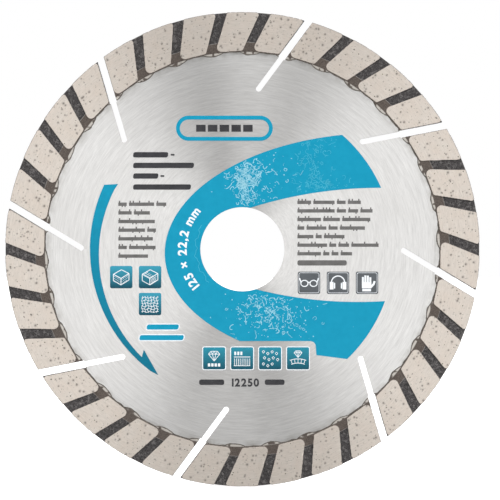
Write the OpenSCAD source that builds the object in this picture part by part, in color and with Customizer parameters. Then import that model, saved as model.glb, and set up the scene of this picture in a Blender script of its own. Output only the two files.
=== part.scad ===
// Diamond cutting blade with a segmented turbo rim, built as separate sub-parts.
// Each sub-part is drawn lying flat: x to the right, y up, z through the thickness.
// upright() then stands it up, so the spin axis is Y and the printed front faces -Y.

/* [Blade] */
// Cutting diameter over the rim
blade_d = 125; // [124:0.5:128]
// Diameter of the spindle bore
bore_d = 22.2; // [20:0.1:25.4]
// Thickness of the steel core
core_t = 1.4; // [1.2:0.1:1.4]
// Thickness of the core's tongue inside the rim
tongue_t = 1; // [0.8:0.1:1.1]
// Thickness over the cutting pads
pad_t = 2.2; // [2:0.1:2.6]
// Thickness between the pads in the diamond section
web_t = 1; // [0.8:0.1:1.4]
// Thickness between the pads in the bond foot
floor_t = 1.7; // [1.65:0.05:1.9]
// Thickness of the lip between the foot's scalloped edge and its pads
lip_t = 1.5; // [1.5:0.05:1.6]

/* [Rim radii] */
// Radius of the foot's edge at the middle of a pad
foot_r = 52; // [51.8:0.1:52.2]
// Inner radius of the pads
pad_r = 52.25; // [52.25:0.05:53]
// Radius to which the core's tongue reaches
tongue_r = 54; // [53:0.1:54.4]
// Radius where the bond foot meets the diamond section
split_r = 54.6; // [54.5:0.1:57]
// Radius at which a scallop is centred
scallop_centre_r = 57.3; // [57.1:0.1:57.6]
// Radius of one scallop
scallop_r = 6; // [5.8:0.1:6.2]

/* [Grooves and slots] */
// Direction of the first groove line where it meets the rim
first_angle = -0.3; // [-5:0.1:5]
// Distance by which every line passes the centre
skew = 21.8; // [20:0.1:23]
// Groove width at the foot
groove_w_in = 2.1; // [1.5:0.05:3]
// Groove width at the rim
groove_w_out = 2.6; // [1.5:0.05:3]
// Slot width between two segments
rim_slot_w = 1.95; // [1.5:0.05:2.5]
// Slot width in the steel core
core_slot_w = 1.5; // [1:0.1:1.5]
// Radius of the slots' round inner tips
slot_tip_r = 41.9; // [41:0.1:46]
// Line that carries the first slot
first_slot = 3; // [0:1:6]
// Radius at the pad's rounded inner corner
pad_corner_big = 1.3; // [0.5:0.1:2]
// Radius at the pad's two smaller corners
pad_corner_small = 0.7; // [0.3:0.1:1.5]

/* [Print] */
// Thickness of the ink film
ink_t = 0.05; // [0.02:0.01:0.1]
// Outer radius of the printed band and arrow
print_r = 40; // [39:0.1:40.5]
// Side of a pictogram tile
tile_w = 5.9; // [5:0.1:6.2]
// Corner radius of a pictogram tile
tile_corner = 0.5; // [0.2:0.1:1]
// Height of a paragraph line
line_h = 1; // [0.8:0.1:1.4]
// Height of a heading line
heading_h = 1.6; // [1.2:0.1:2]

/* [Hidden] */
$fn = 96;
blade_r = blade_d / 2;
// Pads carried by each of the eight segments, going round from the first slot.
segment_pads = [4, 5, 4, 4, 4, 5, 4, 4];
// Every pad starts at a line around the rim, which is either a groove or a slot.
line_count = sum_to(segment_pads, 7);
pitch = 360 / line_count;
// Thickness of a cutter that goes right through the core.
through = 4;
steel_grey = [0.78, 0.78, 0.77];
foot_brown = [0.38, 0.34, 0.31];
diamond_beige = [0.84, 0.79, 0.73];
ink_teal = [0.12, 0.62, 0.76];
ink_deep = [0.06, 0.38, 0.5];
ink_dark = [0.16, 0.16, 0.17];
ink_grey = [0.35, 0.36, 0.38];
ink_white = [0.95, 0.96, 0.97];

// ---------- helper functions ----------
function turned(a, p) = [cos(a) * p.x - sin(a) * p.y, sin(a) * p.x + cos(a) * p.y];
function polar(r, a) = [r * cos(a), r * sin(a)];
function unit(v) = v / norm(v);
// Sum of the values of v from the first to index n.
function sum_to(v, n) = n == 0 ? v[0] : v[n] + sum_to(v, n - 1);
// Distance along a line, from its point nearest the centre, to radius r.
function along(r) = sqrt(r * r - skew * skew);
// Direction in which line k runs outward.
function line_angle(k) = first_angle - asin(skew / blade_r) + k * pitch;
// Line that carries slot i.
function slot_line(i) = i == 0 ? first_slot : slot_line(i - 1) + segment_pads[i - 1];
function groove_half(r) =
    (groove_w_in + (groove_w_out - groove_w_in) * (r - pad_r) / (blade_r - pad_r)) / 2;
// Point where one side of line k crosses radius r; side is 1 or -1.
function edge_point(k, side, r, half) =
    let (y = skew + side * half)
    turned(line_angle(k), [sqrt(r * r - y * y), y]);
// Points of the arc that rounds corner p, between the edges to points back and ahead.
function rounded(p, back, ahead, r, steps, keep) =
    let (
        b = unit(back - p),
        f = unit(ahead - p),
        half = acos(b * f) / 2,
        centre = p + unit(b + f) * r / sin(half),
        start = p + b * r / tan(half)
    )
    [for (i = [0 : keep]) centre + turned(i * (180 - 2 * half) / steps, start - centre)];
// Outline of pad j of segment i, reaching past the rim so that the rim circle can trim it.
function pad_outline(i, j) =
    let (
        k = slot_line(i) + j,
        near_slot = j == 0,
        far_slot = j == segment_pads[i] - 1,
        near_in = near_slot ? rim_slot_w / 2 : groove_half(pad_r),
        near_out = near_slot ? rim_slot_w / 2 : groove_half(blade_r),
        far_in = far_slot ? rim_slot_w / 2 : groove_half(pad_r),
        far_out = far_slot ? rim_slot_w / 2 : groove_half(blade_r + 2),
        a = edge_point(k, 1, pad_r, near_in),
        b = edge_point(k, 1, blade_r, near_out),
        c = edge_point(k + 1, -1, blade_r + 2, far_out),
        d = edge_point(k + 1, -1, pad_r, far_in),
        b_ahead = b + turned(90, unit(b)),
        b_arc = rounded(b, a, b_ahead, pad_corner_small, 5, 4),
        b_end = b_arc[4]
    )
    concat(
        rounded(a, d, b, pad_corner_small, 5, 5),
        b_arc,
        [b_end * (blade_r + 3) / blade_r, c],
        rounded(d, c, a, pad_corner_big, 8, 8)
    );

// ---------- helper modules ----------
module upright() {
    rotate([90, 0, 0]) children();
}

// A disc of radius r and thickness t, centred on the mid-plane.
module disc(r, t) {
    translate([0, 0, -t / 2]) cylinder(r = r, h = t, $fn = 360);
}

// The space between the two slots that bound segment i.
module segment_space(i) {
    k = slot_line(i);
    next = k + segment_pads[i];
    half = rim_slot_w / 2;
    translate([0, 0, -pad_t])
        linear_extrude(height = 2 * pad_t)
            polygon([
                edge_point(k, 1, 45, half),
                edge_point(k, 1, 80, half),
                edge_point(next, -1, 80, half),
                edge_point(next, -1, 45, half)
            ]);
}

// The pads of segment i, untrimmed.
module pads(i) {
    translate([0, 0, -pad_t / 2])
        linear_extrude(height = pad_t)
            for (j = [0 : segment_pads[i] - 1])
                polygon(pad_outline(i, j));
}

// A round scallop of thickness t at the inner end of line k.
module scallop(k, t) {
    a = line_angle(k) + asin(skew / (pad_r + 1.65));
    rotate([0, 0, a]) translate([scallop_centre_r, 0, 0]) disc(scallop_r, t);
}

// A cutter for slot i, running outward from its tip.
module slot_cutter(i) {
    tip = along(slot_tip_r) + core_slot_w / 2;
    wide = along(foot_r - 0.6);
    rotate([0, 0, line_angle(slot_line(i))]) translate([0, skew, 0]) {
        translate([tip, 0, 0]) disc(core_slot_w / 2, through);
        translate([tip, -core_slot_w / 2, -through / 2]) cube([blade_r, core_slot_w, through]);
        translate([wide, -rim_slot_w / 2, -through / 2]) cube([blade_r, rim_slot_w, through]);
    }
}

// Lays a flat print shape on the front face as an ink film.
module ink() {
    upright() translate([0, 0, core_t / 2]) linear_extrude(height = ink_t) children();
}

// A bar with its lower left corner at x, y.
module bar(x, y, w, h) {
    translate([x, y]) square([w, h]);
}

// A line of word-length bars of the given widths, starting at x and centred on y.
module word_bars(x, y, widths, h, gap) {
    for (i = [0 : len(widths) - 1]) {
        before = i == 0 ? 0 : sum_to(widths, i - 1) + i * gap;
        bar(x + before, y - h / 2, widths[i], h);
    }
}

// A square tile with round corners, lower left corner at x, y.
module tile(x, y) {
    c = tile_corner;
    w = tile_w;
    translate([x, y]) {
        translate([c, 0]) square([w - 2 * c, w]);
        translate([0, c]) square([w, w - 2 * c]);
        for (px = [c, w - c], py = [c, w - c])
            translate([px, py]) circle(r = c, $fn = 24);
    }
}

// A bar with half-round ends, lower left corner at x, y.
module pill(x, y, w, h) {
    translate([x + h / 2, y]) square([w - h, h]);
    translate([x + h / 2, y + h / 2]) circle(r = h / 2);
    translate([x + w - h / 2, y + h / 2]) circle(r = h / 2);
}

// A curved bar on radius r between two directions, h wide.
module arc_bar(r, a1, a2, h) {
    steps = max(2, ceil((a2 - a1) / 3));
    polygon(concat(
        [for (i = [0 : steps]) polar(r + h / 2, a1 + (a2 - a1) * i / steps)],
        [for (i = [steps : -1 : 0]) polar(r - h / 2, a1 + (a2 - a1) * i / steps)]
    ));
}

// The arc of size marks to the left of the bore: three digits, a cross, a decimal number, a unit.
module size_marks() {
    mark_r = 15.4;
    for (i = [0 : 2]) arc_bar(mark_r, 213 - i * 6.8, 218.5 - i * 6.8, 2);
    arc_bar(mark_r, 190.5, 195, 1.1);
    for (i = [0 : 1]) arc_bar(mark_r, 180 - i * 6.8, 185.5 - i * 6.8, 2);
    arc_bar(mark_r - 0.8, 170.2, 171.8, 0.5);
    arc_bar(mark_r, 162.5, 168, 2);
    for (i = [0 : 1]) arc_bar(mark_r - 0.25, 148.5 - i * 10.3, 157.5 - i * 10.3, 1.5);
}

// The long rounded outline that bounds the band on the left.
function band_oval() =
    [for (i = [0 : 119]) [33.8, 0.1] + turned(1.8, [54.3 * cos(i * 3), 30.5 * sin(i * 3)])];

// ---------- sub-parts ----------
module steel_core() {
    color(steel_grey) upright() difference() {
        union() {
            disc(tongue_r, tongue_t);
            difference() {
                disc(foot_r, core_t);
                for (k = [0 : line_count - 1]) scallop(k, through);
            }
        }
        disc(bore_d / 2, through);
        for (i = [0 : 7]) slot_cutter(i);
    }
}

// Diamond-free bond layer that straddles the core's tongue under pads and grooves.
module bond_foot(i) {
    color(foot_brown) upright() difference() {
        intersection() {
            segment_space(i);
            disc(split_r, pad_t);
            union() {
                difference() {
                    disc(blade_r, lip_t);
                    disc(foot_r, through);
                }
                difference() {
                    disc(blade_r, floor_t);
                    disc(pad_r, through);
                }
                for (k = [slot_line(i) : slot_line(i) + segment_pads[i]])
                    scallop(k, lip_t);
                pads(i);
            }
        }
        disc(tongue_r, tongue_t);
    }
}

// Diamond-bearing layer: a thin web with the thicker cutting pads on both faces.
module diamond_section(i) {
    color(diamond_beige) upright() difference() {
        intersection() {
            segment_space(i);
            disc(blade_r, pad_t);
            union() {
                disc(blade_r, web_t);
                pads(i);
            }
        }
        disc(split_r, through);
    }
}

module print_band() {
    color(ink_teal) ink() difference() {
        intersection() {
            polygon(band_oval());
            circle(r = print_r, $fn = 360);
        }
        circle(r = bore_d / 2, $fn = 180);
        // The opening to the right of the bore.
        intersection() {
            translate([36.4, -98.2]) circle(r = 114.4, $fn = 720);
            translate([30.4, 95.2]) circle(r = 109.1, $fn = 720);
            bar(1.5, -30, 60, 60);
        }
        // The straight lower edge with its step beside the tiles.
        polygon([
            [-40, -24.2], [18, -24.2], [18.8, -24.5], [19.3, -25.2], [19.5, -27.9],
            [27.2, -28.9], [31, -29.4], [31, -45], [-40, -45]
        ]);
        size_marks();
    }
}

module print_size_marks() {
    color(ink_white) ink() size_marks();
}

// Rotation arrow: a tapered arc that ends in a pointed head with one barb.
module print_arrow() {
    tail = polar(print_r - 3, 152.3);
    barb = polar(print_r - 2.9, 225.5);
    tip = polar(print_r - 0.1, 236.2);
    color(ink_teal) ink() polygon(concat(
        [for (a = [155 : 3 : 233]) polar(print_r + 0.2, a)],
        [tip, barb],
        [for (a = [227 : -3 : 155]) polar(print_r - 2.8 + 1.7 * (a - 153) / 74, a)],
        [tail]
    ));
}

// Plain framed plate above the band.
module print_badge() {
    color(ink_teal) ink() difference() {
        pill(-17.5, 28.6, 25.5, 6.6);
        pill(-16.5, 29.6, 23.5, 4.6);
    }
}

module print_badge_bar() {
    color(ink_dark) ink() for (i = [0 : 4]) bar(-12.2 + i * 3.1, 31, 2.5, 1.8);
}

module print_heading() {
    color(ink_dark) ink() {
        word_bars(-28.8, 25, [10.6, 0.8], heading_h, 0.3);
        word_bars(-28.8, 22.1, [16], heading_h, 0.3);
        word_bars(-28.8, 19.2, [7, 0.8], heading_h, 0.3);
        word_bars(-28.8, 16.3, [15], heading_h, 0.3);
    }
}

module print_text_left() {
    lines = [[2.2, 6.6, 2.6], [3.5, 4.2], [9.6], [7, 2.3], [9.1], [2.2, 7], [7.8]];
    color(ink_dark) ink()
        for (i = [0 : 6]) word_bars(-32.7, 12.1 - i * 2.28, lines[i], line_h, 0.6);
}

module print_text_right() {
    lines = [
        [3.6, 5.6, 2.3, 3.4], [9.8, 2.4, 2.6, 3.2], [6.2, 4.4, 7.4], [1.8, 5.2, 2.4, 6.6],
        [4.2, 1.6, 5.4], [7.8, 1.8, 2.8, 7.2], [6.2, 1.6, 1.8, 3]
    ];
    color(ink_dark) ink() {
        for (i = [0 : 6]) word_bars(14.5, 12.6 - i * 2.26, lines[i], line_h, 0.6);
        word_bars(14.5, -3.5, [13], heading_h, 0.3);
    }
}

module print_material_tiles() {
    color(ink_deep) ink() {
        tile(-34.9, -10.3);
        tile(-27.3, -10.3);
        tile(-27.3, -17.4);
    }
}

module print_name_bars() {
    color(ink_teal) ink() {
        word_bars(-27.3, -20, [8.4], heading_h, 0.3);
        word_bars(-27.3, -22.8, [11.4], heading_h, 0.3);
    }
}

module print_property_tiles() {
    color(ink_deep) ink() for (i = [0 : 3]) tile(-10.4 + i * 7.37, -31.7);
}

module print_care_tiles() {
    color(ink_grey) ink() for (i = [0 : 2]) tile(14.6 + i * 7.65, -11.8);
}

module print_rating() {
    color(ink_dark) ink() {
        bar(-10.4, -35.6, 6.2, 1.9);
        for (i = [0 : 4]) bar(-3.3 + i * 1.5, -35.6, 1.2, 1.9);
        bar(5, -35.6, 5.3, 1.9);
    }
}

steel_core();
bond_foot(0);  // bond_foot_1
bond_foot(1);  // bond_foot_2
bond_foot(2);  // bond_foot_3
bond_foot(3);  // bond_foot_4
bond_foot(4);  // bond_foot_5
bond_foot(5);  // bond_foot_6
bond_foot(6);  // bond_foot_7
bond_foot(7);  // bond_foot_8
diamond_section(0);  // diamond_section_1
diamond_section(1);  // diamond_section_2
diamond_section(2);  // diamond_section_3
diamond_section(3);  // diamond_section_4
diamond_section(4);  // diamond_section_5
diamond_section(5);  // diamond_section_6
diamond_section(6);  // diamond_section_7
diamond_section(7);  // diamond_section_8
print_band();
print_size_marks();
print_arrow();
print_badge();
print_badge_bar();
print_heading();
print_text_left();
print_text_right();
print_material_tiles();
print_name_bars();
print_property_tiles();
print_care_tiles();
print_rating();
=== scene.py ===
import math

import bmesh
import bpy
import numpy as np
from mathutils import Matrix, Vector
from mathutils.bvhtree import BVHTree
from mathutils.kdtree import KDTree


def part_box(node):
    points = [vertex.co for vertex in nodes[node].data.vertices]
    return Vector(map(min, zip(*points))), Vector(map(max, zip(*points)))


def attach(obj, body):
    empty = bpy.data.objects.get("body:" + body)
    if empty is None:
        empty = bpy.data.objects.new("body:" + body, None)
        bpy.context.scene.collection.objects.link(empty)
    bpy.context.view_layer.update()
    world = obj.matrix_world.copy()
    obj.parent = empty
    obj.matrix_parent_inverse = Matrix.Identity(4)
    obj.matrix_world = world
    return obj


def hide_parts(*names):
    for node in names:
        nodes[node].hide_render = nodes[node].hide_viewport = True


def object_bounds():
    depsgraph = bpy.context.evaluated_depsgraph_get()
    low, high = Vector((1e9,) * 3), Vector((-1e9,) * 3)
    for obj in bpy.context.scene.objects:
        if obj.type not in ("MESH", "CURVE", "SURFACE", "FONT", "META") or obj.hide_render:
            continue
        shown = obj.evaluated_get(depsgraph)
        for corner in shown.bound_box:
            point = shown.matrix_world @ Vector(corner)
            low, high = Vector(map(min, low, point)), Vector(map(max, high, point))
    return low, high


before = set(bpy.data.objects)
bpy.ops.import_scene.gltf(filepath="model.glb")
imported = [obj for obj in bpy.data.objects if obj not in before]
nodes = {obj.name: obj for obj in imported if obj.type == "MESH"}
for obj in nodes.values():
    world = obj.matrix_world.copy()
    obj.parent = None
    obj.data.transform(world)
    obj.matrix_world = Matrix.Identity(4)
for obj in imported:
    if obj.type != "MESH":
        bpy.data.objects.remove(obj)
cad_lo, cad_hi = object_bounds()
rng = np.random.default_rng(34)

# ---------- named sizes: lengths in metres, angles in degrees ----------
MM = 0.001
BLADE_R = (cad_hi.x - cad_lo.x) / 2
CORE_FACE = -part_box("steel_core")[0].y
INK_FACE = -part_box("print_band")[0].y
PAD_FACE = -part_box("diamond_section_1")[0].y
LIP_FACE = 0.75 * MM
FOOT_R = 52 * MM
SPLIT_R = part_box("bond_foot_2")[1].z
PAD_R = 52.25 * MM
SCALLOP_CENTRE_R = 57.3 * MM
SCALLOP_R = 6 * MM
SCALLOP_LINE_R = 53.9 * MM
SKEW = 21.8 * MM
SLOT_HALF = 0.98 * MM
FIRST_ANGLE = -0.3
FIRST_SLOT = 3
SEGMENT_PADS = [4, 5, 4, 4, 4, 5, 4, 4]
PITCH = 360 / sum(SEGMENT_PADS)
VOXEL = 0.13 * MM
PITS_PER_FACE = 13
GRAINS_PER_FACE = 11
GRAINS_PER_EDGE = 9


# ---------- small helpers ----------
def line_angle(k):
    """Direction in degrees in which groove or slot line k runs outward."""
    return FIRST_ANGLE - math.degrees(math.asin(SKEW / BLADE_R)) + k * PITCH


def scallop_angle(k):
    """Direction from the bore to the scallop at the inner end of line k."""
    return line_angle(k) + math.degrees(math.asin(SKEW / SCALLOP_LINE_R))


def lattice_noise(points, size, seed):
    """Smooth value noise from 0 to 1 at each point, with features about size across."""
    q = points / size
    cell = np.floor(q).astype(np.int64)
    f = q - cell
    f = f * f * (3 - 2 * f)
    total = np.zeros(len(points))
    for dx in (0, 1):
        for dy in (0, 1):
            for dz in (0, 1):
                h = (cell[:, 0] + dx) * 73856093
                h = h ^ ((cell[:, 1] + dy) * 19349663)
                h = h ^ ((cell[:, 2] + dz) * 83492791)
                h = (h ^ (seed * 2654435761)) & 0xFFFFFFFF
                h = ((h ^ (h >> 13)) * 1274126177) & 0xFFFFFFFF
                h = ((h ^ (h >> 16)) & 0xFFFF) / 65535
                wx = f[:, 0] if dx else 1 - f[:, 0]
                wy = f[:, 1] if dy else 1 - f[:, 1]
                wz = f[:, 2] if dz else 1 - f[:, 2]
                total += h * wx * wy * wz
    return total


def ramp(x, low, high):
    """0 below low, 1 above high, smooth between."""
    t = np.clip((x - low) / (high - low), 0, 1)
    return t * t * (3 - 2 * t)


def add_object(name, mesh, material, replaced=()):
    """Links a finished mesh as a piece that rides on the blade."""
    obj = bpy.data.objects.new(name, mesh)
    bpy.context.scene.collection.objects.link(obj)
    mesh.materials.clear()
    mesh.materials.append(material)
    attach(obj, "root")
    if replaced:
        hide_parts(*replaced)


# ---------- material helpers ----------
class Nodes:
    """A node material, with short ways to add and join nodes."""

    def __init__(self, name):
        self.material = bpy.data.materials.new(name)
        self.material.use_nodes = True
        self.tree = self.material.node_tree
        self.shader = self.tree.nodes["Principled BSDF"]
        self.coords = self.tree.nodes.new("ShaderNodeTexCoord").outputs["Object"]

    def add(self, kind, **settings):
        node = self.tree.nodes.new(kind)
        for key, value in settings.items():
            setattr(node, key, value)
        return node

    def join(self, source, target):
        self.tree.links.new(source, target)

    def math(self, operation, a, b=0.0):
        node = self.add("ShaderNodeMath", operation=operation)
        for socket, value in zip(node.inputs, (a, b)):
            if isinstance(value, (int, float)):
                socket.default_value = value
            else:
                self.join(value, socket)
        return node.outputs[0]

    def vector_math(self, operation, a, b):
        node = self.add("ShaderNodeVectorMath", operation=operation)
        for socket, value in zip(node.inputs, (a, b)):
            if isinstance(value, tuple):
                socket.default_value = value
            else:
                self.join(value, socket)
        return node.outputs[0]

    def xyz(self):
        node = self.add("ShaderNodeSeparateXYZ")
        self.join(self.coords, node.inputs[0])
        return node.outputs

    def combine(self, x, y, z):
        node = self.add("ShaderNodeCombineXYZ")
        for socket, value in zip(node.inputs, (x, y, z)):
            if isinstance(value, (int, float)):
                socket.default_value = value
            else:
                self.join(value, socket)
        return node.outputs[0]

    def noise(self, vector, scale, detail=3.0, roughness=0.55):
        node = self.add("ShaderNodeTexNoise")
        node.inputs["Scale"].default_value = scale
        node.inputs["Detail"].default_value = detail
        node.inputs["Roughness"].default_value = roughness
        self.join(vector, node.inputs["Vector"])
        return node.outputs["Fac"]

    def remap(self, value, low, high, out_low=0.0, out_high=1.0, smooth=False):
        node = self.add("ShaderNodeMapRange")
        node.interpolation_type = "SMOOTHSTEP" if smooth else "LINEAR"
        self.join(value, node.inputs["Value"])
        node.inputs["From Min"].default_value = low
        node.inputs["From Max"].default_value = high
        node.inputs["To Min"].default_value = out_low
        node.inputs["To Max"].default_value = out_high
        return node.outputs["Result"]

    def mix(self, factor, a, b):
        node = self.add("ShaderNodeMix", data_type="RGBA")
        sockets = (node.inputs["Factor"], node.inputs[6], node.inputs[7])
        for socket, value in zip(sockets, (factor, a, b)):
            if isinstance(value, tuple):
                socket.default_value = (*value, 1.0)
            elif isinstance(value, (int, float)):
                socket.default_value = value
            else:
                self.join(value, socket)
        return node.outputs[2]

    def attribute(self, name):
        return self.add("ShaderNodeAttribute", attribute_name=name).outputs["Fac"]

    def radius(self):
        """Distance from the blade's axis."""
        flat = self.vector_math("MULTIPLY", self.coords, (1.0, 0.0, 1.0))
        node = self.add("ShaderNodeVectorMath", operation="LENGTH")
        self.join(flat, node.inputs[0])
        return node.outputs["Value"]

    def polar_grain(self, radial_scale, around_scale):
        """Coordinates that stretch a noise into arcs around the axis."""
        x, _, z = self.xyz()
        angle = self.math("ARCTAN2", z, x)
        return self.combine(
            self.math("MULTIPLY", self.radius(), radial_scale),
            self.math("MULTIPLY", angle, around_scale),
            0.0,
        )

    def brush_tangent(self):
        """Stretches highlights along the radius, as on metal brushed round the axis."""
        flat = self.vector_math("MULTIPLY", self.coords, (1.0, 0.0, 1.0))
        outward = self.vector_math("NORMALIZE", flat, (0.0, 0.0, 0.0))
        self.join(outward, self.shader.inputs["Tangent"])

    def bump(self, height, distance, strength=1.0):
        node = self.add("ShaderNodeBump")
        node.inputs["Strength"].default_value = strength
        node.inputs["Distance"].default_value = distance
        self.join(height, node.inputs["Height"])
        self.join(node.outputs["Normal"], self.shader.inputs["Normal"])

    def set(self, **values):
        for key, value in values.items():
            socket = self.shader.inputs[key.replace("_", " ")]
            if isinstance(value, tuple):
                socket.default_value = (*value, 1.0)
            elif isinstance(value, (int, float)):
                socket.default_value = value
            else:
                self.join(value, socket)
        return self.material


# ---------- materials ----------
def steel_material():
    """Bright steel, ground in fine arcs round the bore, a little stained near the rim."""
    m = Nodes("core_steel")
    fine = m.noise(m.polar_grain(9000.0, 14.0), 1.0, 4.0, 0.7)
    wide = m.noise(m.polar_grain(1800.0, 5.0), 1.0, 3.0, 0.6)
    cloud = m.noise(m.coords, 55.0, 3.0)
    stain = m.noise(m.coords, 260.0, 4.0, 0.6)
    lines = m.math("ADD", m.math("MULTIPLY", fine, 0.6), m.math("MULTIPLY", wide, 0.4))
    colour = m.mix(m.remap(lines, 0.38, 0.62), (0.63, 0.622, 0.61), (0.8, 0.792, 0.78))
    colour = m.mix(m.remap(cloud, 0.4, 0.75, 0.0, 0.25), colour, (0.62, 0.605, 0.585))
    edge = m.remap(m.radius(), 49.5 * MM, 52 * MM, 0.0, 0.55, smooth=True)
    burnt = m.math("MULTIPLY", edge, m.remap(stain, 0.4, 0.65))
    colour = m.mix(burnt, colour, (0.36, 0.34, 0.31))
    m.brush_tangent()
    m.bump(lines, 0.01 * MM, 0.35)
    return m.set(
        Base_Color=colour,
        Roughness=m.remap(lines, 0.3, 0.7, 0.48, 0.38),
        Metallic=1.0,
        Anisotropic=0.95,
    )


def segment_material():
    """Sintered metal: ground bright on the pads, dark and rough on floors and sides."""
    m = Nodes("diamond_segment")
    ground = m.attribute("ground")
    pit = m.attribute("pit")
    grind = m.noise(m.polar_grain(6500.0, 22.0), 1.0, 4.0, 0.7)
    grain = m.noise(m.coords, 5200.0, 3.0, 0.6)
    cloud = m.noise(m.coords, 330.0, 3.0)
    crumbs = m.noise(m.coords, 1900.0, 2.0, 0.5)
    pad = m.mix(m.remap(grind, 0.35, 0.65), (0.525, 0.475, 0.425), (0.665, 0.61, 0.555))
    pad = m.mix(m.remap(cloud, 0.35, 0.7, 0.0, 0.4), pad, (0.6, 0.515, 0.445))
    pad = m.mix(m.remap(crumbs, 0.62, 0.7, 0.0, 0.6), pad, (0.24, 0.22, 0.19))
    streak = m.noise(m.coords, 1300.0, 3.0, 0.65)
    outer = m.mix(m.remap(grain, 0.35, 0.65), (0.035, 0.032, 0.032), (0.13, 0.122, 0.122))
    outer = m.mix(m.remap(streak, 0.5, 0.72, 0.0, 0.8), outer, (0.26, 0.245, 0.24))
    inner = m.mix(m.remap(grain, 0.35, 0.65), (0.095, 0.078, 0.068), (0.18, 0.15, 0.132))
    split = m.remap(m.radius(), SPLIT_R - 0.1 * MM, SPLIT_R + 0.02 * MM)
    floor = m.mix(split, inner, outer)
    # Painted highlight: a lighter band along the edge of the step between the inner and outer floors,
    # where light catches that edge.
    away = m.math("ABSOLUTE", m.math("SUBTRACT", m.radius(), SPLIT_R - 0.05 * MM))
    step_highlight = m.remap(away, 0.03 * MM, 0.12 * MM, 0.8, 0.0)
    step = m.math("MULTIPLY", step_highlight, m.remap(streak, 0.35, 0.5))
    floor = m.mix(step, floor, (0.36, 0.34, 0.32))
    lip = m.attribute("lip")
    floor = m.mix(lip, floor, (0.52, 0.49, 0.45))
    colour = m.mix(ground, floor, pad)
    colour = m.mix(m.math("MULTIPLY", pit, 0.85), colour, (0.09, 0.082, 0.072))
    height = m.math("ADD", m.math("MULTIPLY", grind, 0.4), m.math("MULTIPLY", grain, 0.6))
    m.brush_tangent()
    m.bump(height, 0.03 * MM, 0.5)
    shine = m.math("MAXIMUM", ground, lip)
    return m.set(
        Base_Color=colour,
        Roughness=m.remap(shine, 0.0, 1.0, 0.7, 0.5),
        Metallic=0.8,
        Anisotropic=0.85,
    )


def crystal_material():
    """Synthetic diamond grain: small, dark, olive and glassy."""
    m = Nodes("diamond_grain")
    tone = m.noise(m.coords, 900.0, 2.0)
    colour = m.mix(m.remap(tone, 0.35, 0.65), (0.075, 0.07, 0.055), (0.2, 0.19, 0.14))
    return m.set(Base_Color=colour, Roughness=0.22, IOR=2.0)


def seam_shadow_and_flash_material():
    """Dark bead along the edge of the foot: painted shadow of the narrow gap there, with some burnt
    flash.
    """
    m = Nodes("seam_shadow_and_flash")
    tone = m.noise(m.coords, 2500.0, 3.0)
    colour = m.mix(m.remap(tone, 0.35, 0.7), (0.045, 0.04, 0.035), (0.2, 0.18, 0.155))
    m.bump(tone, 0.03 * MM, 0.6)
    return m.set(Base_Color=colour, Roughness=m.remap(tone, 0.3, 0.7, 0.45, 0.8), Metallic=0.4)


def ink_material(name, light, deep, shade=None, roughness=0.38):
    """Screen-printed ink with a faint mottle; shade is (top, bottom, row pitch), darker down."""
    m = Nodes(name)
    mottle = m.noise(m.coords, 700.0, 4.0, 0.6)
    fine = m.noise(m.coords, 6000.0, 2.0)
    if shade is None:
        colour = m.mix(m.remap(mottle, 0.3, 0.7), deep, light)
    else:
        top, bottom, row = shade
        rows = m.math("MULTIPLY", m.math("SUBTRACT", top, m.xyz()[2]), 1 / row)
        down = m.remap(m.math("FRACT", rows), 0.0, (top - bottom) / row)
        colour = m.mix(down, light, deep)
        colour = m.mix(m.remap(mottle, 0.3, 0.7, 0.0, 0.12), colour, (0.0, 0.0, 0.0))
    m.bump(fine, 0.006 * MM, 0.4)
    return m.set(
        Base_Color=colour,
        Roughness=m.remap(mottle, 0.3, 0.7, roughness - 0.06, roughness + 0.08),
        Specular_IOR_Level=0.12,
    )


# ---------- segments ----------
def joined_mesh(names, name):
    """One mesh from several CAD nodes, with coincident points merged."""
    bm = bmesh.new()
    for node in names:
        bm.from_mesh(nodes[node].data)
    bmesh.ops.remove_doubles(bm, verts=bm.verts, dist=1e-7)
    mesh = bpy.data.meshes.new(name)
    bm.to_mesh(mesh)
    bm.free()
    return mesh


def remeshed(mesh, size):
    """A copy of mesh rebuilt from even voxels, which rounds its edges a little."""
    obj = bpy.data.objects.new("remesh_temp", mesh)
    bpy.context.scene.collection.objects.link(obj)
    modifier = obj.modifiers.new("voxels", "REMESH")
    modifier.mode = "VOXEL"
    modifier.voxel_size = size
    modifier.adaptivity = 0.0
    graph = bpy.context.evaluated_depsgraph_get()
    result = bpy.data.meshes.new_from_object(obj.evaluated_get(graph))
    bpy.data.objects.remove(obj)
    return result


def spread(mask, edges, steps, fade):
    """Lets a per-vertex mask reach its neighbours, fading at each step."""
    for _ in range(steps):
        wider = mask.copy()
        np.maximum.at(wider, edges[:, 0], mask[edges[:, 1]] * fade)
        np.maximum.at(wider, edges[:, 1], mask[edges[:, 0]] * fade)
        mask = wider
    return mask


def read_vectors(items, key):
    data = np.empty(len(items) * 3, dtype=np.float32)
    items.foreach_get(key, data)
    return data.reshape(-1, 3).astype(np.float64)


def crystal_points():
    """Corners of a truncated octahedron of radius 1."""
    corners = []
    for a in (0, 1, 2):
        for b in (0, 1, 2):
            if a == b:
                continue
            for s in (-1, 1):
                for t in (-1, 1):
                    p = [0.0, 0.0, 0.0]
                    p[a] = 2.0 * s
                    p[b] = 1.0 * t
                    corners.append(Vector(p).normalized())
    return corners


CRYSTAL = crystal_points()


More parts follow.
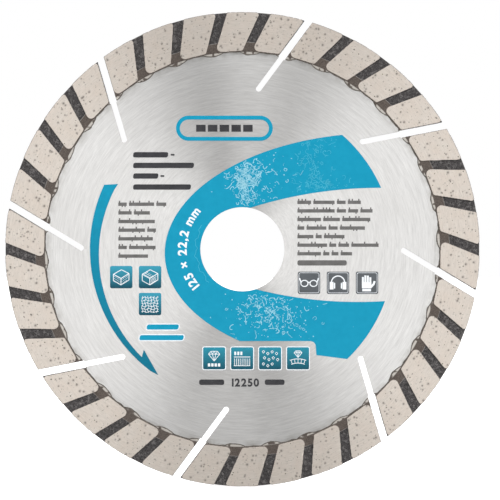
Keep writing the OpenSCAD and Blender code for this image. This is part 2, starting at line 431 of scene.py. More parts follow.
def crystals(name, places, material):
    """Grains set into the surface: each place is (point, outward normal)."""
    bm = bmesh.new()
    for point, normal in places:
        size = rng.uniform(0.11, 0.26) * MM
        turn = Matrix.Rotation(rng.uniform(0, math.tau), 3, Vector(rng.normal(size=3)).normalized())
        centre = Vector(point) - Vector(normal) * size * rng.uniform(0.45, 0.75)
        stretch = Vector((rng.uniform(0.8, 1.2), rng.uniform(0.8, 1.2), rng.uniform(0.8, 1.2)))
        verts = []
        for corner in CRYSTAL:
            p = centre + turn @ (corner * stretch) * size
            p.y = max(-PAD_FACE, min(PAD_FACE, p.y))
            reach = math.hypot(p.x, p.z)
            limit = BLADE_R - 0.01 * MM
            if reach > limit:
                p.x *= limit / reach
                p.z *= limit / reach
            verts.append(bm.verts.new(p))
        bmesh.ops.convex_hull(bm, input=verts)
    loose = [v for v in bm.verts if not v.link_faces]
    bmesh.ops.delete(bm, geom=loose, context="VERTS")
    bmesh.ops.recalc_face_normals(bm, faces=bm.faces)
    mesh = bpy.data.meshes.new(name)
    bm.to_mesh(mesh)
    bm.free()
    add_object(name, mesh, material)


def cut_pits(co, side, places):
    """Presses a round pit into a pad at each place; returns where the pits are, from 0 to 1."""
    tree = KDTree(len(co))
    for index, point in enumerate(co):
        tree.insert(point, index)
    tree.balance()
    pit = np.zeros(len(co))
    for index in places:
        size = rng.uniform(0.16, 0.42) * MM
        depth = size * rng.uniform(0.3, 0.55)
        for _, found, distance in tree.find_range(Vector(co[index]), size * 1.6):
            weight = math.exp(-((distance / (size * 0.75)) ** 2))
            pit[found] = max(pit[found], weight)
            co[found, 1] -= side[found] * depth * weight * 0.5
    return pit


def build_segment(i, material, crystal):
    """Segment i: ground pads with chips and pits, rough floors, and its diamond grains."""
    cad = (f"bond_foot_{i}", f"diamond_section_{i}")
    mesh = remeshed(joined_mesh(cad, f"segment_{i}_cad"), VOXEL)
    mesh.name = f"segment_{i}"
    co = read_vectors(mesh.vertices, "co")
    normal = read_vectors(mesh.vertex_normals, "vector")
    edges = np.empty(len(mesh.edges) * 2, dtype=np.int32)
    mesh.edges.foreach_get("vertices", edges)
    edges = edges.reshape(-1, 2)
    side = np.sign(co[:, 1])
    height = np.abs(co[:, 1])
    reach = np.hypot(co[:, 0], co[:, 2])
    flat = np.abs(normal[:, 1])
    high = ramp(height, PAD_FACE - 0.12 * MM, PAD_FACE - 0.03 * MM)
    top = high * ramp(flat, 0.9, 0.985)
    corner = high * (1 - ramp(flat, 0.55, 0.96))

    near_corner = spread(corner, edges, 3, 0.7)
    chip = ramp(lattice_noise(co, 0.8 * MM, 7), 0.62, 0.9) * 0.16 * MM
    chip += ramp(lattice_noise(co, 0.3 * MM, 11), 0.55, 0.95) * 0.06 * MM
    co -= normal * (chip * near_corner)[:, None]

    rough = (lattice_noise(co, 0.25 * MM, 3) - 0.5) * 0.05 * MM
    rough += (lattice_noise(co, 1.1 * MM, 5) - 0.5) * 0.04 * MM
    inside_rim = 1 - ramp(reach, BLADE_R - 0.25 * MM, BLADE_R - 0.1 * MM)
    co += normal * (rough * (1 - high) * inside_rim)[:, None]
    worn = 0.02 * MM + lattice_noise(co, 2.5 * MM, 13) * 0.015 * MM
    co[:, 1] -= side * worn * top

    faces = np.flatnonzero((top > 0.95) & (near_corner < 0.2))
    rim = np.flatnonzero((reach > BLADE_R - 0.08 * MM) & (height < PAD_FACE - 0.2 * MM))
    pads = SEGMENT_PADS[i - 1]
    pit = cut_pits(co, side, rng.choice(faces, pads * 2 * PITS_PER_FACE, replace=False))
    grains = rng.choice(faces, pads * 2 * GRAINS_PER_FACE, replace=False)
    rim_grains = rng.choice(rim, pads * GRAINS_PER_EDGE, replace=False)
    places = [(co[g], (0.0, side[g], 0.0)) for g in grains]
    places += [(co[g], (co[g, 0] / reach[g], 0.0, co[g, 2] / reach[g])) for g in rim_grains]

    stretch = np.minimum(1.0, (BLADE_R - 0.002 * MM) / np.hypot(co[:, 0], co[:, 2]))
    co[:, 0] *= stretch
    co[:, 2] *= stretch
    co[:, 1] = np.clip(co[:, 1], -PAD_FACE, PAD_FACE)
    mesh.vertices.foreach_set("co", co.astype(np.float32).ravel())
    level = ramp(flat, 0.7, 0.9) * (1 - ramp(np.abs(height - LIP_FACE), 0.04 * MM, 0.08 * MM))
    around = np.degrees(np.arctan2(co[:, 2], co[:, 0]))
    from_edge = reach - np.array([seam_radius(a) for a in around])
    lip = level * ramp(from_edge, 0.08 * MM, 0.2 * MM)
    lip *= 1 - ramp(reach, FOOT_R - 0.02 * MM, PAD_R - 0.1 * MM)
    worn_off = ramp(lattice_noise(co, 0.7 * MM, 17), 0.25, 0.5)
    edge_face = ramp(reach, BLADE_R - 0.08 * MM, BLADE_R - 0.03 * MM) * (1 - ramp(flat, 0.4, 0.7))
    edge_wear = ramp(lattice_noise(co, 0.5 * MM, 19), 0.15, 0.45)
    ground = np.maximum(top, 0.65 * edge_face * edge_wear)
    for key, values in (("ground", ground), ("pit", pit), ("lip", lip * worn_off)):
        layer = mesh.attributes.new(key, "FLOAT", "POINT")
        layer.data.foreach_set("value", values.astype(np.float32))
    mesh.polygons.foreach_set("use_smooth", np.ones(len(mesh.polygons), dtype=bool))
    mesh.update()
    add_object(f"segment_{i}", mesh, material, cad)
    crystals(f"diamond_grit_{i}", places, crystal)


# ---------- seam along the scalloped edge, with a bead of painted shadow ---
def seam_radius(angle):
    """Radius of the edge between core and foot; angle is the direction in degrees."""
    k = round((angle - scallop_angle(0)) / PITCH)
    off = math.radians(angle - scallop_angle(k))
    under = SCALLOP_R**2 - (SCALLOP_CENTRE_R * math.sin(off)) ** 2
    if under < 0:
        return FOOT_R
    return min(FOOT_R, SCALLOP_CENTRE_R * math.cos(off) - math.sqrt(under))


def build_seam_shadow_bead(i, material):
    """A thin wavy dark bead on both faces, from slot to slot of segment i: painted shadow of the gap
    along the edge, with some burnt flash.
    """
    first = FIRST_SLOT + sum(SEGMENT_PADS[: i - 1])
    last = first + SEGMENT_PADS[i - 1]
    start = line_angle(first) + math.degrees(math.asin((SKEW + SLOT_HALF) / FOOT_R))
    stop = line_angle(last) + math.degrees(math.asin((SKEW - SLOT_HALF) / FOOT_R))
    step = 0.12
    count = round((stop - start) / step)
    bm = bmesh.new()
    for face in (-1, 1):
        along = np.linspace(start, stop, count)
        around = np.column_stack([along * 0.9 * MM, np.full(count, face * 5 * MM), np.zeros(count)])
        widths = 0.08 + 0.22 * ramp(lattice_noise(around, 1.4 * MM, 21 + i), 0.3, 0.9)
        shift = (lattice_noise(around, 0.9 * MM, 41 + i) - 0.5) * 0.16
        rows = []
        for angle, width, off in zip(along, widths, shift):
            r = seam_radius(angle) + off * MM * 0.6
            profile = (
                (r - width * MM, CORE_FACE - 0.01 * MM),
                (r - width * 0.6 * MM, CORE_FACE + 0.03 * MM),
                (r + 0.02 * MM, LIP_FACE + 0.03 * MM),
                (r + 0.1 * MM, LIP_FACE - 0.02 * MM),
            )
            a = math.radians(angle)
            rows.append([bm.verts.new((q * math.cos(a), face * y, q * math.sin(a))) for q, y in profile])
        for row, following in zip(rows, rows[1:]):
            for j in range(4):
                k = (j + 1) % 4
                bm.faces.new((row[j], row[k], following[k], following[j]))
        bm.faces.new(rows[0])
        bm.faces.new(rows[-1])
    bmesh.ops.recalc_face_normals(bm, faces=bm.faces)
    for f in bm.faces:
        f.smooth = True
    mesh = bpy.data.meshes.new(f"seam_shadow_and_flash_{i}")
    bm.to_mesh(mesh)
    bm.free()
    add_object(f"seam_shadow_and_flash_{i}", mesh, material)


# ---------- flat print shapes, drawn in millimetres: u right, v up ----------
class Print:
    """Collects flat shapes and turns them into one thin layer of ink on the front face."""

    def __init__(self, low=CORE_FACE, high=INK_FACE):
        self.bm = bmesh.new()
        self.low = low
        self.high = high
        self.count = 0

    def shape(self, outline):
        """One closed outline; neighbours differ a hair in height, so overlaps stay clean."""
        self.count += 1
        high = self.high + (self.count % 7) * 0.0006 * MM
        back = [self.bm.verts.new((u * MM, -self.low, v * MM)) for u, v in outline]
        front = [self.bm.verts.new((u * MM, -high, v * MM)) for u, v in outline]
        self.bm.faces.new(front)
        self.bm.faces.new(back[::-1])
        for a in range(len(outline)):
            b = (a + 1) % len(outline)
            self.bm.faces.new((front[a], back[a], back[b], front[b]))

    def rect(self, u, v, w, h):
        self.shape([(u, v), (u + w, v), (u + w, v + h), (u, v + h)])

    def oval(self, u, v, r, squeeze=1.0, lean=0.0, sides=8):
        """A small disc, squeezed across and turned by lean, in radians."""
        ring = []
        for n in range(sides):
            a = r * math.cos(n * math.tau / sides)
            b = r * squeeze * math.sin(n * math.tau / sides)
            x = a * math.cos(lean) - b * math.sin(lean)
            y = a * math.sin(lean) + b * math.cos(lean)
            ring.append((u + x, v + y))
        self.shape(ring)

    def stroke(self, points, width):
        """A line of even width through points."""
        left, right = [], []
        for n, (u, v) in enumerate(points):
            before = points[max(0, n - 1)]
            after = points[min(len(points) - 1, n + 1)]
            du, dv = after[0] - before[0], after[1] - before[1]
            size = math.hypot(du, dv) or 1.0
            du, dv = du / size * width / 2, dv / size * width / 2
            left.append((u - dv, v + du))
            right.append((u + dv, v - du))
        for n in range(len(points) - 1):
            self.shape([right[n], right[n + 1], left[n + 1], left[n]])

    def loop(self, points, width):
        """A closed line of even width, as separate straight strokes."""
        closed = list(points) + [points[0]]
        for n in range(len(points)):
            self.stroke([closed[n], closed[n + 1]], width)

    def arc(self, u, v, r, start, stop, width, steps=14):
        span = math.radians(stop - start) / steps
        angles = [math.radians(start) + n * span for n in range(steps + 1)]
        self.stroke([(u + r * math.cos(a), v + r * math.sin(a)) for a in angles], width)

    def frame(self, u, v, side, corner, width):
        """The outline of a square tile with round corners, one edge and one corner at a time."""
        mid = side / 2
        edge = mid - corner
        steps = [math.radians(15 * n) for n in range(7)]
        straight = [(mid, -edge), (mid, edge)]
        bend = [(edge + corner * math.cos(a), edge + corner * math.sin(a)) for a in steps]
        for quarter in range(4):
            c, s = math.cos(quarter * math.tau / 4), math.sin(quarter * math.tau / 4)
            for line in (straight, bend):
                self.stroke([(u + mid + a * c - b * s, v + mid + a * s + b * c) for a, b in line], width)

    def words(self, u, v, widths, height, gap):
        """A row of word-like bars with a few bumps above and below, which spell nothing."""
        low = v - height / 2
        body = height * 0.66
        for width in widths:
            self.rect(u, low, width, body)
            count = max(1, round(width / (height * 0.62)))
            for n in range(count):
                start = u + (n + 0.2) * width / count
                kind = rng.random()
                if n == 0 or kind < 0.3:
                    self.rect(start, low + body * 0.5, height * 0.24, height - body * 0.5)
                elif kind > 0.88:
                    self.rect(start, low - height * 0.22, height * 0.22, height * 0.5)
            u += width + gap

    def plate(self, u, v, w, h, slant=0.0, grow=0.0):
        """A leaning bar with round corners, its left end at u and centred on v."""
        corner = 0.35 * h
        ring = []
        for n, (a, b) in enumerate(((w, h / 2), (0, h / 2), (0, -h / 2), (w, -h / 2))):
            a += corner if a == 0 else -corner
            b += corner if b < 0 else -corner
            for k in range(6):
                turn = math.radians(90 * n + 18 * k)
                x = a + (corner + grow) * math.cos(turn)
                y = b + (corner + grow) * math.sin(turn)
                ring.append((u + x + slant * y, v + y))
        self.shape(ring)

    def finish(self, name, material, slot_name, replaced=()):
        bmesh.ops.recalc_face_normals(self.bm, faces=self.bm.faces)
        mesh = bpy.data.meshes.new(name)
        self.bm.to_mesh(mesh)
        self.bm.free()
        add_object(name, mesh, material, replaced)


# ---------- places and sizes of the print, in millimetres ----------
ON_STEEL = (CORE_FACE, INK_FACE)
OVER_INK = (INK_FACE - 0.01 * MM, INK_FACE + 0.02 * MM)
SIZE_ARC_R = 14.8
SIZE_ARC_MIDDLE = 179
SIZE_ARC_CLEAR_R = (13.1, 17.6)
SIZE_ARC_CLEAR_ANGLE = (130, 226)
RATING_MIDDLE = (0.8, -36.1)
WORD_H = 1.35
WORD_GAP = 0.6
PLATE_H = 1.4
LEFT_LINES = ([2.2, 6.6, 2.6], [3.5, 4.2], [9.6], [7, 2.3], [9.1], [2.2, 7], [7.8])
RIGHT_LINES = (
    [3.6, 5.6, 2.3, 3.4],
    [9.8, 2.4, 2.6, 3.2],
    [6.2, 4.4, 7.4],
    [1.8, 5.2, 2.4, 6.6],
    [4.2, 1.6, 5.4],
    [7.8, 1.8, 2.8, 7.2],
    [6.2, 1.6, 1.8, 3],
)
TILE = 5.9
TILE_ROW = 7.1
MATERIAL_TILES = ((-34.9, -10.3), (-27.3, -10.3), (-27.3, -10.3 - TILE_ROW))
PROPERTY_TILES = [(-10.4 + 7.37 * n, -31.7) for n in range(4)]
CARE_TILES = [(14.6 + 7.65 * n, -11.8) for n in range(3)]


def glyph_mesh(character, size, thickness):
    """The flat mesh of one bold character in Blender's own font, cap height about size."""
    curve = bpy.data.curves.new("glyph_temp", "FONT")
    curve.body = character
    curve.size = size / 0.73
    curve.extrude = thickness / 2
    curve.offset = 0.045 * size
    obj = bpy.data.objects.new("glyph_temp", curve)
    bpy.context.scene.collection.objects.link(obj)
    mesh = bpy.data.meshes.new_from_object(obj)
    bpy.data.objects.remove(obj)
    bpy.data.curves.remove(curve)
    return mesh


def numerals(name, text, size, place, faces, material, gap, space=1.0):
    """Characters one after another; place(distance) gives (u, v, turn) for each centre."""
    glyphs = []
    total = 0.0
    low, high = faces
    for character in text:
        if character == " ":
            total += space
            continue
        mesh = glyph_mesh(character, size, high - low)
        us = [v.co.x for v in mesh.vertices]
        left, right = min(us), max(us)
        width = (right - left) / MM
        glyphs.append((mesh, (left + right) / 2, total + width / 2))
        total += width + gap
    total -= gap
    bm = bmesh.new()
    for mesh, middle, centre in glyphs:
        u, v, turn = place(centre - total / 2)
        flat = Matrix.Rotation(math.radians(90), 4, "X")
        spin = Matrix.Rotation(-math.radians(turn), 4, "Y")
        move = Matrix.Translation((u * MM, -(low + high) / 2, v * MM))
        mesh.transform(move @ spin @ flat @ Matrix.Translation((-middle, 0, 0)))
        bm.from_mesh(mesh)
        bpy.data.meshes.remove(mesh)
    bmesh.ops.remove_doubles(bm, verts=bm.verts, dist=1e-8)
    mesh = bpy.data.meshes.new(name)
    bm.to_mesh(mesh)
    bm.free()
    add_object(name, mesh, material)


# ---------- symbols on the tiles: u, v is a tile's lower left corner ----------
def moved(u, v, points):
    """Points given from a tile's corner, as places on the blade."""
    return [(u + a, v + b) for a, b in points]


def box_symbol(p, u, v):
    """A block seen from above one corner."""
    top = [(0.9, 3.7), (3.0, 4.9), (5.0, 3.9), (2.9, 2.6)]
    p.loop(moved(u, v, top), 0.2)
    p.stroke(moved(u, v, [(0.9, 3.7), (0.9, 2.0), (2.9, 0.9), (5.0, 2.2), (5.0, 3.9)]), 0.2)
    p.stroke(moved(u, v, [(2.9, 2.6), (2.9, 0.9)]), 0.2)


def dotted_box(p, u, v):
    """A block with speckled faces."""
    box_symbol(p, u, v)
    for n in range(14):
        column = n % 5
        row = n // 5
        p.oval(u + 1.25 + 0.35 * column, v + 3.1 - 0.21 * column - 0.55 * row, 0.09)
        p.oval(u + 3.2 + 0.37 * column, v + 2.35 + 0.23 * column - 0.5 * row, 0.09)


def dashed_box(p, u, v):
    """A block with dashes across its faces."""
    box_symbol(p, u, v)
    for n in range(4):
        above = [(1.3 + 0.45 * n, 3.6 - 0.28 * n), (2.4 + 0.45 * n, 4.2 - 0.28 * n)]
        side = [(3.2, 2.3 - 0.35 * n), (4.6, 3.15 - 0.35 * n)]
        p.stroke(moved(u, v, above), 0.11)
        p.stroke(moved(u, v, side), 0.11)


def mesh_symbol(p, u, v):
    """A rippled net."""
    for n in range(6):
        row = [(0.7 + 0.32 * t, 0.9 + 0.75 * n + 0.16 * math.sin(1.1 * t + n)) for t in range(15)]
        p.stroke(moved(u, v, row), 0.13)
        column = [(0.9 + 0.78 * n + 0.16 * math.sin(1.1 * t + n), 0.7 + 0.31 * t) for t in range(15)]
        p.stroke(moved(u, v, column), 0.13)


def diamond_symbol(p, u, v, size, width):
    """A cut diamond from the side, with its table up; u, v is its middle."""
    edge = [(-1.0, 0.3), (-0.55, 0.8), (0.55, 0.8), (1.0, 0.3), (0.0, -0.9)]
    lines = [
        [(-1.0, 0.3), (1.0, 0.3)],
        [(-0.55, 0.8), (-0.3, 0.3), (0.0, -0.9)],
        [(0.55, 0.8), (0.3, 0.3), (0.0, -0.9)],
        [(-0.3, 0.3), (0.0, 0.8), (0.3, 0.3)],
    ]
    p.loop([(u + size * a, v + size * b) for a, b in edge], width)
    for line in lines:
        p.stroke([(u + size * a, v + size * b) for a, b in line], width)


def grit_symbol(p, u, v):
    """A cut diamond over a row of plain bars."""
    diamond_symbol(p, u + TILE / 2, v + 3.6, 1.5, 0.16)
    for n in range(4):
        p.rect(u + 1.3 + 0.88 * n, v + 0.8, 0.62, 0.8)


def comb_symbol(p, u, v):
    """A straight rim with its teeth."""
    p.stroke(moved(u, v, [(0.8, 3.3), (5.1, 3.3)]), 0.2)
    p.stroke(moved(u, v, [(0.8, 1.0), (5.1, 1.0)]), 0.16)
    for n in range(9):
        p.stroke(moved(u, v, [(0.95 + 0.5 * n, 1.0), (0.95 + 0.5 * n, 2.9)]), 0.15)
    for n in range(3):
        p.rect(u + 0.9 + 0.8 * n, v + 3.8, 0.5, 0.9)


def scatter_symbol(p, u, v):
    """Little diamonds spread over the tile."""
    for n in range(11):
        column, row = n % 4, n // 4
        a = u + 1.2 + 1.15 * column + 0.3 * (row % 2)
        b = v + 4.7 - 1.6 * row - 0.45 * (column % 2)
        p.loop([(a - 0.34, b), (a, b + 0.32), (a + 0.34, b), (a, b - 0.42)], 0.13)


def rim_symbol(p, u, v):
    """A stretch of the blade's rim with a diamond above it."""
    radii = (6.0, 4.9)
    centre_v = -3.2
    for r in radii:
        p.arc(u + TILE / 2, v + centre_v, r, 69, 111, 0.18)
    for n in range(5):
        a = math.radians(72 + 9 * n)
        ends = [(TILE / 2 + r * math.cos(a), centre_v + r * math.sin(a)) for r in radii]
        p.stroke(moved(u, v, ends), 0.14)
    diamond_symbol(p, u + TILE / 2, v + 4.1, 1.05, 0.15)


def goggles_symbol(p, u, v):
    """Two lenses, their bridge and the ends of the strap."""
    middle = u + TILE / 2
    turn = [math.tau * n / 16 for n in range(16)]
    for side in (-1, 1):
        centre = middle + 1.2 * side
        p.loop([(centre + 0.95 * math.cos(a), v + 2.8 + 0.82 * math.sin(a)) for a in turn], 0.26)
        p.stroke([(middle + 2.1 * side, v + 3.1), (middle + 2.5 * side, v + 4.2)], 0.3)
    p.arc(middle, v + 2.7, 0.4, 30, 150, 0.26, 6)


def ear_symbol(p, u, v):
    """Ear defenders: a head band, two cups and their pads."""
    p.arc(u + TILE / 2, v + 3.0, 1.75, 0, 180, 0.3)
    for side in (0, 1):
        p.rect(u + 0.75 + 3.4 * side, v + 1.2, 1.0, 2.0)
        p.rect(u + 1.85 + 1.85 * side, v + 1.45, 0.35, 1.5)


def glove_symbol(p, u, v):
    """A cuff, a palm, four fingers and a thumb."""
    p.rect(u + 1.7, v + 0.7, 2.3, 0.65)
    p.rect(u + 1.6, v + 1.5, 2.5, 1.6)
    for n, tall in enumerate((1.4, 1.8, 1.75, 1.3)):
        p.rect(u + 1.6 + 0.65 * n, v + 3.1, 0.52, tall)
    p.stroke(moved(u, v, [(3.95, 1.8), (4.7, 2.6), (4.95, 3.4)]), 0.55)


def tile_symbols(name, material, places, symbols, inset=0.0, width=0.0):
    """One symbol on each tile of a group, with a pale frame if a width is given."""
    p = Print(CORE_FACE, OVER_INK[1])
    for (u, v), symbol in zip(places, symbols):
        if width:
            p.frame(u + inset, v + inset, TILE - 2 * inset, 0.5, width)
        symbol(p, u, v)
    p.finish(name, material, "ink_white")


# ---------- splashes on the band ----------
def band_tester(mesh):
    """A test for whether a small spot at u, v lies on the band and clear of the size figures."""
    tree = BVHTree.FromPolygons([v.co for v in mesh.vertices], [p.vertices for p in mesh.polygons])
    toward = Vector((0, 1, 0))

    def inside(u, v, margin):
        low_r, high_r = SIZE_ARC_CLEAR_R
        start, stop = SIZE_ARC_CLEAR_ANGLE
        if low_r < math.hypot(u, v) < high_r and start < math.degrees(math.atan2(v, u)) % 360 < stop:
            return False
        for n in range(8):
            x = u + margin * math.cos(n * math.tau / 8)
            z = v + margin * math.sin(n * math.tau / 8)
            if tree.ray_cast(Vector((x * MM, -0.01, z * MM)), toward)[0] is None:
                return False
        return True

    return inside


def drop(p, inside, u, v):
    """A small flattened disc, left out where it wouldn't fit."""
    size = rng.uniform(0.05, 0.2)
    if inside(u, v, size + 0.15):
        squeeze = rng.uniform(0.5, 1.0)
        lean = rng.uniform(0, math.pi)
        p.oval(u, v, size, squeeze, lean, 10)


def curl(p, inside, u, v):
    """A short bent line, left out where it wouldn't fit."""
    step = 0.3
    heading = rng.uniform(0, math.tau)
    bend = rng.uniform(-0.9, 0.9)
    line = [(u, v)]
    for _ in range(rng.integers(3, 9)):
        heading += bend + rng.normal(0, 0.3)
        u += step * math.cos(heading)
        v += step * math.sin(heading)
        line.append((u, v))
    if all(inside(a, b, 0.25) for a, b in line):
        p.stroke(line, rng.uniform(0.07, 0.16))


def splash(name, material, inside, bursts):
    """Bursts of drops and curls; each burst is (centre, spread, drops, curls)."""
    p = Print(*OVER_INK)
    for centre, spreads, drops, curls in bursts:
        for n in range(drops + curls):
            u, v = (rng.normal(c, s) for c, s in zip(centre, spreads))
            shape = drop if n < drops else curl
            shape(p, inside, u, v)
    p.finish(name, material, "ink_white")


def ripple(name, material):
    """A thin wavy line close to the left edge of the bore."""
    trail = []
    for n in range(90):
        a = math.radians(149 + 0.85 * n)
        r = 12.3 + 0.32 * math.sin(0.31 * n) + 0.12 * math.sin(0.83 * n + 1)
        trail.append((r * math.cos(a), r * math.sin(a)))
    p = Print(*OVER_INK)
    p.stroke(trail, 0.12)
    p.finish(name, material, "ink_white")


# ---------- steel and segments ----------
def paint(node, material):
    """Gives a material to a CAD node that is kept as it is."""
    data = nodes[node].data
    data.materials.clear()
    data.materials.append(material)


paint("steel_core", steel_material())
segment_look = segment_material()
crystal_look = crystal_material()
seam_shadow_and_flash_look = seam_shadow_and_flash_material()
for number in range(1, len(SEGMENT_PADS) + 1):
    build_segment(number, segment_look, crystal_look)
    # The dark seam bead is painted shadow of the gap along the foot's edge, with some burnt flash.
    build_seam_shadow_bead(number, seam_shadow_and_flash_look)


# ---------- inks, and the printed CAD nodes ----------
def tile_shade(v):
    """The shade of tiles whose lower edge is at v, the same again on each row below."""
    return ((v + TILE) * MM, v * MM, TILE_ROW * MM)


TEAL = (0.0035, 0.228, 0.357)
teal = ink_material("ink_teal", TEAL, (0.0025, 0.208, 0.33))
arrow_shade = (19 * MM, -50 * MM, 100 * MM)
arrow_teal = ink_material("ink_teal_shaded", TEAL, (0.001, 0.085, 0.135), arrow_shade)
dark = ink_material("ink_dark", (0.04, 0.04, 0.043), (0.026, 0.026, 0.029), roughness=0.55)
dim = ink_material("ink_dim", (0.125, 0.122, 0.12), (0.09, 0.088, 0.085), roughness=0.55)
grey = ink_material("ink_grey", (0.085, 0.092, 0.1), (0.07, 0.076, 0.082), roughness=0.5)
white = ink_material("ink_white", (0.68, 0.7, 0.72), (0.6, 0.63, 0.66), roughness=0.45)
mist = ink_material("ink_mist", (0.3, 0.52, 0.6), (0.2, 0.44, 0.54), roughness=0.45)
haze = ink_material("ink_haze", (0.05, 0.33, 0.45), (0.04, 0.3, 0.42), roughness=0.45)
deep_shade = tile_shade(MATERIAL_TILES[0][1])
row_shade = tile_shade(PROPERTY_TILES[0][1])
tile_deep = ink_material("ink_tile_deep", (0.035, 0.26, 0.36), (0.006, 0.05, 0.075), deep_shade)
tile_row = ink_material("ink_tile_row", (0.02, 0.21, 0.29), (0.006, 0.06, 0.09), row_shade)

paint("print_arrow", arrow_teal)
paint("print_badge", teal)
paint("print_badge_bar", dark)
paint("print_property_tiles", tile_row)
paint("print_care_tiles", grey)
paint("print_material_tiles", tile_deep)

band = joined_mesh(("print_band", "print_size_marks"), "teal_band")
on_band = band_tester(band)
add_object("teal_band", band, teal, ("print_band", "print_size_marks"))


# ---------- size and speed figures, and word-like bars ----------
def on_arc(distance):
    """Along the arc left of the bore, upwards, with the tops outward."""
    turn = SIZE_ARC_MIDDLE - math.degrees(distance / (SIZE_ARC_R + 1))
    a = math.radians(turn)
    return (SIZE_ARC_R * math.cos(a), SIZE_ARC_R * math.sin(a), turn - 90)


def on_rating_line(distance):
    return (RATING_MIDDLE[0] + distance, RATING_MIDDLE[1], 0)


numerals(
    "size_numerals",
    "125 × 22,2 mm",
    size=2.3 * MM,
    place=on_arc,
    faces=OVER_INK,
    material=white,
    gap=0.42,
    space=1.3,
)


def paragraph(u, top, row_pitch, lines):
    p = Print()
    for row, widths in enumerate(lines):
        p.words(u, top - row_pitch * row, widths, WORD_H, WORD_GAP)
    return p


heading = Print()
for v, w in ((24.9, 9.2), (22.1, 16.0), (19.3, 6.6), (16.4, 15.2)):
    heading.plate(-28.8, v, w, PLATE_H, 0.15)
for u, v in ((-18.9, 24.9), (-21.6, 19.3)):
    heading.plate(u, v, 1.0, 0.45)
heading.finish("heading_marks", dark, "ink_dark", ("print_heading",))

left = paragraph(-32.7, 12.1, 2.28, LEFT_LINES)
left.finish("left_text_marks", dim, "ink_dark", ("print_text_left",))

right = paragraph(14.5, 12.6, 2.26, RIGHT_LINES)
right.plate(14.5, -3.6, 13, PLATE_H)
right.finish("right_text_marks", dim, "ink_dark", ("print_text_right",))

outline = Print(CORE_FACE, CORE_FACE + 0.03 * MM)
name_marks = Print()
for u, v, w in ((-25.2, -20.5, 8.4), (-27.1, -23.3, 11.6)):
    outline.plate(u, v, w, WORD_H, 0.2, 0.26)
    name_marks.plate(u, v, w, WORD_H, 0.2)
outline.finish("name_outline", white, "ink_white")
name_marks.finish("name_marks", teal, "ink_teal", ("print_name_bars",))

numerals(
    "rating_numerals",
    "12250",
    size=2.05 * MM,
    place=on_rating_line,
    faces=ON_STEEL,
    material=dark,
    gap=0.3,
)
rating = Print()
for u, w in ((-11.4, 6.6), (5.9, 5.2)):
    rating.plate(u, -35.05, w, PLATE_H)
rating.finish("rating_marks", dark, "ink_dark", ("print_rating",))

# ---------- symbols ----------
material_symbols = (dotted_box, dashed_box, mesh_symbol)
property_symbols = (grit_symbol, comb_symbol, scatter_symbol, rim_symbol)
care_symbols = (goggles_symbol, ear_symbol, glove_symbol)
tile_symbols("material_symbols", white, MATERIAL_TILES, material_symbols)
tile_symbols("property_symbols", white, PROPERTY_TILES, property_symbols, inset=-0.08, width=0.22)
tile_symbols("care_symbols", white, CARE_TILES, care_symbols, inset=0.3, width=0.11)

# ---------- splashes: each burst is (centre, spread, drops, curls) ----------
splash("splash_upper", mist, on_band, (
    ((0.6, 18.0), (1.5, 4.5), 90, 190),
    ((1.5, 17.5), (3.2, 4.0), 70, 50),
    ((5.5, 20.0), (4.5, 3.0), 50, 20),
))
splash("splash_faint", haze, on_band, (
    ((19.0, 24.0), (2.4, 5.0), 60, 110),
    ((21.0, 16.5), (3.5, 1.2), 50, 40),
))
splash("splash_lower", mist, on_band, (
    ((5.5, -15.0), (4.5, 2.2), 120, 60),
    ((9.5, -19.5), (6.0, 3.0), 110, 50),
))
ripple("ripple", haze)


# ---------- floor, light and camera ----------
def build_floor():
    """A plain pale floor under the blade, left out of the steel's reflections."""
    half = 3.0
    z = cad_lo.z - 0.02 * MM
    corners = [(-half, -half, z), (half, -half, z), (half, half, z), (-half, half, z)]
    mesh = bpy.data.meshes.new("floor")
    mesh.from_pydata(corners, [], [(0, 1, 2, 3)])
    floor = bpy.data.objects.new("floor", mesh)
    bpy.context.scene.collection.objects.link(floor)
    m = Nodes("floor_pale")
    mottle = m.noise(m.coords, 30.0, 3.0)
    colour = m.mix(mottle, (0.88, 0.88, 0.88), (0.92, 0.92, 0.92))
    mesh.materials.append(
        m.set(Base_Color=colour, Roughness=0.7, Emission_Color=(1.0, 1.0, 1.0), Emission_Strength=0.4)
    )
    floor.visible_glossy = False


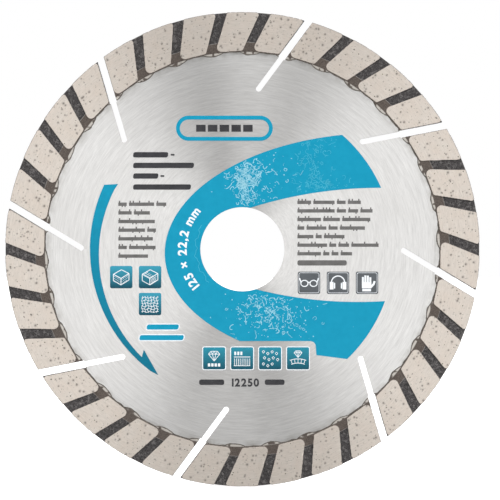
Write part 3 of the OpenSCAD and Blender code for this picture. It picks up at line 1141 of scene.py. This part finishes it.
def build_world(front, sides, below):
    """Soft studio surround, with a brighter band on either side; the camera sees plain white."""
    world = bpy.data.worlds.new("studio")
    bpy.context.scene.world = world
    world.use_nodes = True
    tree = world.node_tree

    def add(kind, *inputs, **settings):
        node = tree.nodes.new(kind)
        for key, value in settings.items():
            setattr(node, key, value)
        for socket, value in zip(node.inputs, inputs):
            if isinstance(value, (int, float)):
                socket.default_value = value
            else:
                tree.links.new(value, socket)
        return node.outputs

    direction = add("ShaderNodeTexCoord")["Generated"]
    x, _, z = add("ShaderNodeSeparateXYZ", direction)
    across = add("ShaderNodeMath", x, operation="ABSOLUTE")[0]
    rise = add("ShaderNodeMapRange", across, 0.15, 0.6, 0.0, 1.0, interpolation_type="SMOOTHSTEP")[0]
    fall = add("ShaderNodeMapRange", across, 0.65, 0.95, 1.0, 0.2, interpolation_type="SMOOTHSTEP")[0]
    band = add("ShaderNodeMath", rise, fall, operation="MULTIPLY")[0]
    level = add("ShaderNodeMath", band, sides, front, operation="MULTIPLY_ADD")[0]
    level = add("ShaderNodeMath", z, below, level, operation="MULTIPLY_ADD")[0]
    seen = add("ShaderNodeLightPath")["Is Camera Ray"]
    pick = tree.nodes.new("ShaderNodeMix")
    tree.links.new(seen, pick.inputs["Factor"])
    tree.links.new(level, pick.inputs["A"])
    pick.inputs["B"].default_value = 1.0
    tree.links.new(pick.outputs["Result"], tree.nodes["Background"].inputs["Color"])


def soft_light(name, place, size, power):
    """A large square lamp aimed at the blade's centre."""
    data = bpy.data.lights.new(name, "AREA")
    data.shape = "SQUARE"
    data.size = size
    data.energy = power
    obj = bpy.data.objects.new(name, data)
    obj.location = place
    obj.rotation_euler = (-Vector(place)).to_track_quat("-Z", "Y").to_euler()
    obj.visible_camera = False
    bpy.context.scene.collection.objects.link(obj)


def build_camera():
    """Square on to the printed face, close enough to show the slots' far walls."""
    view_width = 131.683 * MM
    data = bpy.data.cameras.new("camera")
    data.sensor_width = 36
    data.lens = 110
    data.clip_start = 0.01
    data.clip_end = 20
    camera = bpy.data.objects.new("camera", data)
    bpy.context.scene.collection.objects.link(camera)
    distance = view_width * data.lens / data.sensor_width
    camera.location = (2.0 * MM, -distance - PAD_FACE, -0.2 * MM)
    camera.rotation_euler = (math.radians(90), 0, 0)
    bpy.context.scene.camera = camera


build_floor()
build_world(front=0.61, sides=1.6, below=0.04)
soft_light("top_softbox", (0.04, -0.22, 0.6), 0.22, 0.9)
build_camera()
bpy.context.scene.view_settings.view_transform = "Standard"
